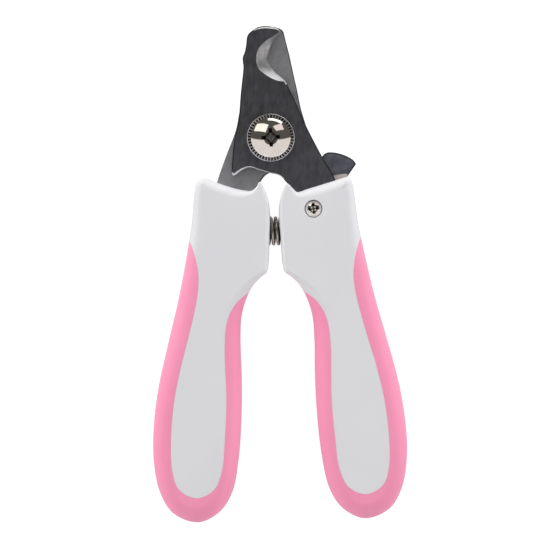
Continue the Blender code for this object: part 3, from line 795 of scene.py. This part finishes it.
def blades():
    hollow = grind("front_grind", EDGE_CURVE, FRONT_LOW, GRIND_CURVE, FRONT_HIGH, reach=12.0)
    # The front blade's chamfers outside the hollow, the wave and the tip take a painted shade.
    blade(
        "front_blade", joined(FRONT_BLADE), FRONT_LOW, FRONT_HIGH,
        "right_handle", "dark_blade_steel", DARK_STEEL, TIP_BEVEL, EDGE_PAINTED_SHADE, hollow, hollow_x=0.3,
        holes=[(PIVOT, PIVOT_HOLE), (FRONT_ANCHOR, ANCHOR_HOLE), (LOCK, SCREW_HOLE)],
    )
    edge, ground = turned_over(EDGE_CURVE), turned_over(GRIND_CURVE)
    hollow = grind("rear_grind", edge, REAR_HIGH, ground, REAR_LOW, reach=-14.0)
    # The rear blade's tip chamfer takes the near-black painted shade, and its other chamfers take the
    # darker front-blade steel as painted shade.
    blade(
        "rear_blade", joined(REAR_BLADE), REAR_HIGH, REAR_LOW,
        "left_handle", "grey_blade_steel", GREY_STEEL, EDGE_PAINTED_SHADE, DARK_STEEL, hollow, hollow_x=-2.4,
        holes=[(PIVOT, PIVOT_HOLE), (REAR_ANCHOR, ANCHOR_HOLE)],
    )


# ---- Handles ----


def handle_body(name, side):
    """The whole handle, core and grip in one. The side is 1 for the right and -1 for the left."""
    rim = RIGHT_RIM if side > 0 else LEFT_RIM
    outline = mirrored(smooth([*rim, *HANDLE_OUTLINE], closed=True), side)
    return rounded_slab(name, outline, HANDLE_LOW, HANDLE_HIGH)


def quarter_round(steps):
    """How far out and how far down a rounded mouth is at each step, both from 0 to 1."""
    angles = [math.pi / 2 * step / steps for step in range(steps + 1)]
    return [(1 - math.sin(angle), 1 - math.cos(angle)) for angle in angles]


def core_region(name, side, gap, flare):
    """The core's side of the seam, opened out by the flare at both faces of the handle."""
    outline = mirrored([*smooth(SEAM), *AROUND_THE_TOP], side)
    sections = [(gap + flare, HANDLE_LOW - OVERCUT)]
    for out, down in quarter_round(4):
        sections.append((gap + flare * out, HANDLE_LOW + SEAM_ROUND * down))
    sections += [(by, HANDLE_LOW + HANDLE_HIGH - z) for by, z in reversed(sections)]
    return flared(name, outline, sections)


def flange(name, side, gap):
    """The rib round the paddle that the grip is moulded over."""
    outline = grown(mirrored(smooth(SEAM[SEAM_PADDLE]), side), FLANGE_REACH + gap)
    half_height = FLANGE_HALF_HEIGHT + gap
    return prism(name, outline, MID_Z - half_height, MID_Z + half_height)


def tang_slot(name, outline, low, high, anchor):
    """The room for a blade's tang, with a post through its anchor hole."""
    slot = prism(name, grown(outline, TOUCH), low - TOUCH, high + TOUCH)
    post = prism(name + "_post", circle(anchor, ANCHOR_HOLE - TOUCH), low - OVERCUT, high + OVERCUT)
    return shaped(slot, "DIFFERENCE", post)


def spring_pocket(name, side):
    """The bore for one end of the spring, with a spigot that the coil sits on."""
    root = POCKET_END + OVERCUT
    hole = rod_along_x(name, POCKET_RADIUS, -side * OVERCUT, side * POCKET_END)
    spigot = rod_along_x(name + "_spigot", SPIGOT_RADIUS, side * SPIGOT_END, side * root)
    return shaped(hole, "DIFFERENCE", spigot)


def handle(word, side, tang, *more_cuts):
    body = word + "_handle"
    core = handle_body(f"fine_{body}_core", side)
    shaped(core, "INTERSECT", core_region(word + "_core_region", side, 0.0, -SEAM_ROUND))
    shaped(core, "UNION", flange(word + "_flange", side, 0.0))
    shaped(core, "DIFFERENCE", tang, spring_pocket(word + "_pocket", side), *more_cuts)
    given(shaded(core), body + "_core", body, "white_plastic", WHITE_PLASTIC)

    grip = handle_body(f"fine_{body}_grip", side)
    shaped(
        grip, "DIFFERENCE", core_region(word + "_core_room", side, SEAM_GAP, SEAM_ROUND),
        flange(word + "_flange_room", side, SEAM_GAP),
    )
    given(shaded(grip), body + "_grip", body, "pink_rubber", PINK_RUBBER)


def lever_slot():
    """The room that the lock lever swings in."""
    fan = [*SLOT_INNER_SIDE, *arc(LOCK, SLOT_BOSS_ROOM, 180, 320, 24), *SLOT_OUTER_SIDE]
    return prism("lever_slot", fan, LEVER_LOW - LEVER_SLOT_GAP, FRONT_LOW + TOUCH)


def screw_hole():
    """The stepped hole that the lock screw goes into, with a rounded mouth."""
    outer = half_width("lock_screw") + COUNTERBORE_GAP
    step = HANDLE_HIGH - COUNTERBORE_DEPTH
    profile = [(0.0, HANDLE_HIGH + OVERCUT), (outer + SCREW_MOUTH, HANDLE_HIGH + OVERCUT)]
    for out, down in quarter_round(4):
        profile.append((outer + SCREW_MOUTH * out, HANDLE_HIGH - SCREW_MOUTH * down))
    profile += [(outer, step), (SCREW_HOLE, step), (SCREW_HOLE, PILOT_FLOOR), (0.0, PILOT_FLOOR)]
    return turned("screw_hole", profile, LOCK)


def handles():
    front = tang_slot("front_slot", joined(FRONT_BLADE), FRONT_LOW, FRONT_HIGH, FRONT_ANCHOR)
    rear = tang_slot("rear_slot", joined(REAR_BLADE), REAR_LOW, REAR_HIGH, REAR_ANCHOR)
    handle("right", 1, front, lever_slot(), screw_hole())
    handle("left", -1, rear)


# ---- Pivot ----


def sphere_radius(radius, rise):
    """Of the sphere that a dome with this radius and rise is cut from."""
    return (radius**2 + rise**2) / (2 * rise)


def dome(radius, rise, base, steps=24):
    """The (radius, height) points of a domed head, from its crown to its edge."""
    sphere = sphere_radius(radius, rise)
    edge = math.asin(radius / sphere)
    angles = [edge * i / steps for i in range(steps + 1)]
    return [(sphere * math.sin(a), base + rise - sphere * (1 - math.cos(a))) for a in angles]


def shade_recess(obj, at, radius, rise, base, reach):
    """Gives the second material to a recess's walls: the slanting faces inside the dome's surface."""
    skin, deepest = 0.03, 2.0
    sphere = sphere_radius(radius, rise)
    middle = Vector((at[0], at[1] + PIVOT_Y, base + rise - sphere))
    for face in obj.data.polygons:
        place = face.center / MM - middle
        inside = place.length < sphere - skin and place.xy.length < reach
        if inside and face.center.z / MM > base - deepest and 0.02 < face.normal.z < 0.9:
            face.material_index = 1


def cross_recess(name, at, top, angle, arm, width, depth, flare):
    """A driver recess: two tapered bars crossed, and a tapered square between their arms."""
    over = top + OVERCUT
    mouth, foot = (arm * 1.25, width * 1.15, over), (arm * 0.42, width * 0.55, top - depth)
    bars = [wedge_bar(f"{name}_{i}", at, angle + i * math.pi / 2, mouth, foot) for i in range(2)]
    mouth = (flare * 1.4, flare * 1.4, over)
    foot = (flare * 0.45, flare * 0.45, top - depth * 1.1)
    square = wedge_bar(name + "_square", at, angle + math.pi / 4, mouth, foot)
    return shaped(bars[0], "UNION", bars[1], square)


def pivot_bolt():
    low, high = heights("pivot_bolt")
    ring_high = heights("pivot_toothed_washer")[1]
    radius = half_width("pivot_bolt")
    head_low = ring_high + TOUCH
    base = ring_high + HEAD_LIFT + HEAD_RIM
    profile = [
        *dome(radius, high - base, base),
        (radius, head_low + HEAD_CHAMFER), (radius - HEAD_CHAMFER, head_low),
        (SHOULDER_RADIUS, head_low), (SHOULDER_RADIUS, REAR_LOW), (THREAD_RADIUS, REAR_LOW),
        (THREAD_RADIUS, low + THREAD_CHAMFER), (THREAD_RADIUS - THREAD_CHAMFER, low), (0.0, low),
    ]
    bolt = turned("fine_pivot_bolt", profile, PIVOT, 128)
    shaped(bolt, "DIFFERENCE", cross_recess("bolt_recess", PIVOT, high, **BOLT_RECESS))
    shaded(bolt, smooth_below=28)
    plated(bolt, "pivot_bolt", CHROME, RECESS_PLATE)
    shade_recess(bolt, PIVOT, radius, high - base, base, radius)


def toothed_washer():
    """Its slots lie in a dished band between the head and a raised lip."""
    low, high = FRONT_HIGH + TOUCH, heights("pivot_toothed_washer")[1]
    outer = half_width("pivot_toothed_washer")
    inner = SHOULDER_RADIUS + 0.3
    flat, dish, lip, lip_edge, rim = (high - drop for drop in (0.02, 0.26, 0.08, 0.11, 0.24))
    profile = [
        (inner, flat), (SLOT_INNER - 0.1, flat), (SLOT_OUTER, dish), (SLOT_OUTER + 0.04, lip),
        (outer - 0.14, lip_edge), (outer, rim), (outer, low), (inner, low),
    ]
    ring = turned("fine_pivot_toothed_washer", profile, PIVOT, 180)
    bm = bmesh.new()
    middle, length = (SLOT_INNER + SLOT_OUTER) / 2, SLOT_OUTER - SLOT_INNER
    for i in range(RING_SLOTS):
        turn = Matrix.Rotation(2 * math.pi * i / RING_SLOTS, 4, "Z")
        place = Matrix.Translation((*PIVOT, high)) @ turn @ Matrix.Translation((middle, 0.0, 0.0))
        size = Matrix.Diagonal((length, SLOT_WIDTH, 2 * SLOT_DEPTH, 1.0))
        bmesh.ops.create_cube(bm, size=1.0, matrix=place @ size)
    shaped(ring, "DIFFERENCE", from_bmesh("washer_slots", bm))
    shaded(ring)
    plated(ring, "pivot_toothed_washer", WASHER_PLATE, SLOT_PLATE)
    margin, floor_drop, upright = 0.05, 0.3, 0.3
    for face in ring.data.polygons:
        place = face.center / MM - Vector((PIVOT_X, PIVOT_Y, 0.0))
        in_slot = SLOT_INNER - margin < place.xy.length < SLOT_OUTER + margin
        if in_slot and (place.z < high - floor_drop or abs(face.normal.z) < upright):
            face.material_index = 1


def back_washer_and_nut():
    washer_low, washer_high = heights("pivot_back_washer")[0], REAR_LOW - TOUCH
    outer, inner = half_width("pivot_back_washer"), THREAD_RADIUS + THREAD_PLAY
    flat = outer - WASHER_FILLET
    profile = [
        (inner, washer_high), (flat, washer_high), (outer, washer_high - WASHER_FILLET),
        (outer, washer_low + WASHER_FILLET), (flat, washer_low), (inner, washer_low),
    ]
    washer = turned("fine_pivot_back_washer", profile, PIVOT)
    plated(shaded(washer), "pivot_back_washer", BACK_PLATE)

    nut_low = heights("pivot_nut")[0]
    nut_high = washer_low - TOUCH
    corner = NUT_ACROSS_FLATS / math.sqrt(3)
    nut = prism("fine_pivot_nut", circle(PIVOT, corner, 6), nut_low, nut_high)
    crown = NUT_ACROSS_FLATS / 2 * NUT_CROWN
    reach = corner + 0.5
    drop = (reach - crown) * math.tan(math.radians(30))
    top, bottom = nut_high + 0.1, nut_low - 0.001
    barrel = [
        (0.0, top), (crown, top), (reach, top - drop),
        (reach, nut_low + drop), (crown, bottom), (0.0, bottom),
    ]
    shaped(nut, "INTERSECT", turned("nut_barrel", barrel, PIVOT))
    chamfer, past = 0.35, 0.1
    bore = [
        (0.0, nut_high + OVERCUT), (inner, nut_high + OVERCUT), (inner, nut_low + chamfer),
        (inner + chamfer + past, nut_low - past), (0.0, nut_low - past),
    ]
    shaped(nut, "DIFFERENCE", turned("nut_bore", bore, PIVOT))
    shaded(nut, smooth_below=20)
    plated(nut, "pivot_nut", BACK_PLATE)


# ---- Spring and lock ----


def opening_spring(per_turn=32, first_top=0.25):
    """The coil, with its two end turns closed up. One of its turns is at its highest at the given x."""
    y, z = SPRING_Y, SPRING_Z
    radius = (SPRING_HIGH.z - SPRING_LOW.z) / 2 - SPRING_WIRE / 2
    reach = (SPRING_HIGH.x - SPRING_LOW.x) / 2 - SPRING_WIRE / 2
    open_pitch = (2 * reach - 2 * CLOSED_PITCH) / (SPRING_TURNS - 2)
    curve = bpy.data.curves.new("coil", "CURVE")
    curve.dimensions = "3D"
    curve.bevel_depth = SPRING_WIRE / 2 * MM
    curve.bevel_resolution = 5
    curve.use_fill_caps = True
    spline = curve.splines.new("POLY")
    spline.points.add(SPRING_TURNS * per_turn)
    phase = 2 * math.pi * (reach + first_top - CLOSED_PITCH) / open_pitch
    for i, point in enumerate(spline.points):
        turn = i / per_turn
        middle_turns = min(max(turn - 1, 0), SPRING_TURNS - 2)
        end_turns = turn - middle_turns
        x = -reach + end_turns * CLOSED_PITCH + middle_turns * open_pitch
        angle = 2 * math.pi * (turn - 1) - phase
        across, up = radius * math.cos(angle), radius * math.sin(angle)
        point.co = (x * MM, (y + across) * MM, (z + up) * MM, 1.0)
    coil = in_scene("coil", curve)
    mesh = evaluated_mesh(coil)
    bpy.data.objects.remove(coil, do_unlink=True)
    spring = in_scene("fine_opening_spring", mesh)
    mesh.shade_smooth()
    mesh.materials.append(SPRING_STEEL)
    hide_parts("opening_spring")
    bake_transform(spring)


def lever_outline():
    """The lock lever: thumb tab, hollow flank beside the rear blade's hook, nose and boss."""
    flank = arc(PIVOT, CATCH_REACH, -47, -25, 18)
    boss = arc(LOCK, LEVER_BOSS, -20, -180, 32)
    return [*smooth(LEVER_TAB), *smooth(LEVER_TAB_EDGE)[1:], *boss, *LEVER_NOSE, *flank]


def lock_lever():
    outline = [(*p, LEVER_EDGE, INNER_EDGE) for p in lever_outline()]
    lever = bevelled_plate("fine_lock_lever", outline, LEVER_LOW, LEVER_HIGH)
    hole = prism("lever_hole", circle(LOCK, SCREW_HOLE), LEVER_LOW - OVERCUT, LEVER_HIGH + OVERCUT)
    root, top = LEVER_HIGH - LEVER_STEP_ROOT, LEVER_HIGH + LEVER_STEP_RISE
    step = prism("lever_step", smooth(LEVER_STEP, closed=True), root, top)
    shaped(lever, "DIFFERENCE", hole)
    shaped(lever, "UNION", step)
    shaded(lever)
    given(lever, "lock_lever", "lock_lever", "dark_blade_steel", LEVER_STEEL, STEP_STEEL, EDGE_PAINTED_SHADE)
    # Faces above the step's root take the pale step steel, and the lever's slanting edge faces take a
    # painted shade.
    for face in lever.data.polygons:
        if face.center.z / MM > LEVER_HIGH + LEVER_STEP_RISE / 3:
            face.material_index = 1
        elif STEEPEST < face.normal.z < FLATTEST:
            face.material_index = 2


def lock_screw():
    low, high = heights("lock_screw")
    radius = half_width("lock_screw")
    crown, base, head_low = radius - SCREW_RIM, high - SCREW_DOME, high - SCREW_HEAD
    profile = [
        *dome(crown, SCREW_DOME, base, 12), (radius, base - 0.14), (radius, head_low),
        (SCREW_SHANK, head_low), (SCREW_SHANK, low + SCREW_POINT), (0.0, low),
    ]
    screw = turned("fine_lock_screw", profile, LOCK, 72)
    ticks = [
        wedge_bar(
            f"screw_tick_{i}", LOCK, SCREW_TURN + math.pi / 4 + i * math.pi / 2,
            (3.5, 0.2, high + OVERCUT), (2.6, 0.1, high - TICK_DEPTH),
        )
        for i in range(2)
    ]
    recess = cross_recess("screw_recess", LOCK, high, **SCREW_RECESS)
    shaped(screw, "DIFFERENCE", recess, *ticks)
    ridges = []
    for i in range(4):
        along = Vector(RIDGE_PLACE) @ Matrix.Rotation(-(SCREW_TURN + i * math.pi / 2), 2)
        at = (LOCK[0] + along.x, LOCK[1] + along.y)
        ridge = dome(RIDGE_RADIUS, RIDGE_RISE, high - RIDGE_DEPTH, 5)
        foot = high - RIDGE_FOOT
        profile = [*ridge, (RIDGE_RADIUS, foot), (0.0, foot)]
        ridges.append(turned(f"ridge_{i}", profile, at, 12))
    shaped(screw, "UNION", *ridges)
    shaded(screw, smooth_below=28)
    plated(screw, "lock_screw", CHROME, RECESS_PLATE, RIDGE_PLATE, RIM_PAINTED_SHADE)
    shade_recess(screw, LOCK, crown, SCREW_DOME, base, radius)
    middle = Vector((LOCK[0], LOCK[1] + PIVOT_Y, 0.0))
    ridge_reach, ridge_low = 0.95, high - 0.36
    # Ridge tops take the glinting plate, and the ring round the dome takes the painted shade.
    for face in screw.data.polygons:
        place = face.center / MM - middle
        if place.xy.length < ridge_reach and ridge_low < place.z and face.normal.z > 0.3:
            face.material_index = 2
        elif place.xy.length > crown - 0.01 and 0.1 < face.normal.z:
            face.material_index = 3


# ---- Studio ----

WHITE = (1.0, 1.0, 1.0, 1.0)
ROOM_LIGHT = 0.45
CARD = (0.78, 0.745, 0.725, 1.0)
CARD_EDGE_NORMAL = (0.0, 1.0, 0.2)  # the pale card ends where directions lean over this way
CARD_EDGE_WIDTH = 0.06
DARK_ROOM = (0.085, 0.08, 0.075, 1.0)
HOOD = (0.07, 0.066, 0.062, 1.0)
HOOD_EDGE = 0.872  # how far up a direction points where the dark camera hood begins
PIVOT_POINT = Vector((PIVOT_X, PIVOT_Y, HANDLE_HIGH)) * MM


def studio_world():
    """Plain white to look at and an even light on matt surfaces. What bright metal mirrors is a room
    with a pale card on the near side, dark above and on the far side."""
    world = bpy.data.worlds.new("studio")
    world.use_nodes = True
    bpy.context.scene.world = world
    tree, nodes, link = world.node_tree, world.node_tree.nodes, world.node_tree.links.new
    even = filled_in(nodes["Background"], Color=WHITE, Strength=ROOM_LIGHT)
    seen = filled_in(added(tree, "Background"), Color=WHITE)
    mirrored_room = added(tree, "Background")
    place = added(tree, "TexCoord").outputs["Generated"]
    lean = added(tree, "VectorMath", operation="DOT_PRODUCT")
    lean.inputs[1].default_value = Vector(CARD_EDGE_NORMAL).normalized()
    card = added(tree, "ValToRGB")
    on_card, off_card = card.color_ramp.elements
    on_card.position, off_card.position = 0.0, CARD_EDGE_WIDTH
    on_card.color, off_card.color = CARD, DARK_ROOM
    upness = added(tree, "SeparateXYZ")
    hood = filled_in(added(tree, "MapRange"), From_Min=HOOD_EDGE - 0.01, From_Max=HOOD_EDGE + 0.01)
    under_hood = filled_in(added(tree, "Mix", data_type="RGBA"), B=HOOD)
    rays = added(tree, "LightPath")
    lit, output = added(tree, "MixShader"), added(tree, "MixShader")
    link(place, lean.inputs[0])
    link(place, upness.inputs["Vector"])
    link(lean.outputs["Value"], card.inputs["Fac"])
    link(upness.outputs["Z"], hood.inputs["Value"])
    link(hood.outputs["Result"], under_hood.inputs["Factor"])
    link(card.outputs["Color"], under_hood.inputs["A"])
    link(under_hood.outputs["Result"], mirrored_room.inputs["Color"])
    link(rays.outputs["Is Glossy Ray"], lit.inputs["Fac"])
    link(even.outputs["Background"], lit.inputs[1])
    link(mirrored_room.outputs["Background"], lit.inputs[2])
    link(rays.outputs["Is Camera Ray"], output.inputs["Fac"])
    link(lit.outputs["Shader"], output.inputs[1])
    link(seen.outputs["Background"], output.inputs[2])
    link(output.outputs["Shader"], nodes["World Output"].inputs["Surface"])


def panel(name, corners, radiance, distance=0.8):
    """A glowing panel that the bright pieces reflect. Each corner is an azimuth from +X and an angle
    from straight up, in degrees, as seen from the pivot."""
    points = []
    for azimuth, from_top in corners:
        a, t = math.radians(azimuth), math.radians(from_top)
        towards = Vector((math.sin(t) * math.cos(a), math.sin(t) * math.sin(a), math.cos(t)))
        points.append(PIVOT_POINT + towards * distance)
    mesh = bpy.data.meshes.new(name)
    mesh.from_pydata(points, [], [range(len(points))])
    material, tree = new_material(name)
    tree.nodes.remove(tree.nodes["Principled BSDF"])
    glow = filled_in(added(tree, "Emission"), Color=(*radiance, 1.0))
    tree.links.new(glow.outputs["Emission"], tree.nodes["Material Output"].inputs["Surface"])
    mesh.materials.append(material)
    obj = in_scene(name, mesh)
    obj.visible_camera = False
    obj.visible_shadow = False


def fill(name, direction, size, radiance, colour=(1.0, 1.0, 1.0), distance=1.2):
    """A soft area light that faces the pivot and shows in no reflection."""
    light = bpy.data.lights.new(name, "AREA")
    light.shape = "SQUARE"
    light.size = size
    light.energy = radiance * math.pi * size**2
    light.color = colour
    obj = in_scene(name, light)
    towards = Vector(direction).normalized()
    obj.location = PIVOT_POINT + towards * distance
    obj.rotation_mode = "QUATERNION"
    obj.rotation_quaternion = towards.to_track_quat("Z", "Y")
    obj.visible_glossy = False
    obj.visible_camera = False


def floor():
    """A plain white table top, lit a little from within so that the shadows on it stay faint."""
    table_half_width = 4000.0
    bm = bmesh.new()
    bmesh.ops.create_grid(bm, x_segments=1, y_segments=1, size=table_half_width)
    top = from_bmesh("table_top", bm)
    top.location.z = CAD_BOUNDS[0].z
    material, tree = new_material("lit_white_table")
    shader = filled_in(
        tree.nodes["Principled BSDF"], Base_Color=(0.2, 0.2, 0.2, 1.0), Roughness=0.9,
        Specular_IOR_Level=0.1, Emission_Color=WHITE,
    )
    rays = added(tree, "LightPath")
    glow = filled_in(added(tree, "MapRange"), To_Min=0.45, To_Max=0.95)
    tree.links.new(rays.outputs["Is Camera Ray"], glow.inputs["Value"])
    tree.links.new(glow.outputs["Result"], shader.inputs["Emission Strength"])
    top.data.materials.append(material)


def camera():
    """Straight above, turned by the small angle at which the trimmer lies in the view."""
    lens, sensor, view_width = 250.0, 36.0, 142.6
    turn = math.radians(-1.39)
    centre = Vector((-2.47, 1.83, 7.5))
    data = bpy.data.cameras.new("camera")
    data.lens = lens
    data.sensor_width = sensor
    obj = in_scene("camera", data)
    obj.location = (centre + Vector((0.0, 0.0, view_width * lens / sensor))) * MM
    obj.rotation_euler = (0.0, 0.0, turn)
    bpy.context.scene.camera = obj


def studio():
    studio_world()
    panel("left_panel", [(98, 55), (131, 30), (156, 78), (132, 86)], (1.16, 1.12, 1.02))
    panel("right_panel", [(78, 48), (50, 36), (31, 66), (52, 76)], (0.86, 0.8, 0.78))
    panel("far_panel", [(97, 77), (97, 87), (52, 87), (52, 76)], (1.7, 1.7, 1.7))
    fill("top_fill", (0.0, 0.1, 1.0), 1.2, 0.35)
    fill("far_fill", (0.0, 1.0, 0.27), 0.6, 9.2)
    fill("near_fill", (0.0, -1.0, 0.27), 0.6, 2.7, (1.0, 0.92, 0.94))
    fill("right_fill", (1.0, 0.0, 0.27), 0.6, 6.9)
    fill("left_fill", (-1.0, 0.0, 0.27), 0.6, 7.0)
    floor()
    camera()
    bpy.context.scene.view_settings.view_transform = "Standard"


blades()
handles()
pivot_bolt()
toothed_washer()
back_washer_and_nut()
opening_spring()
lock_lever()
lock_screw()
studio()
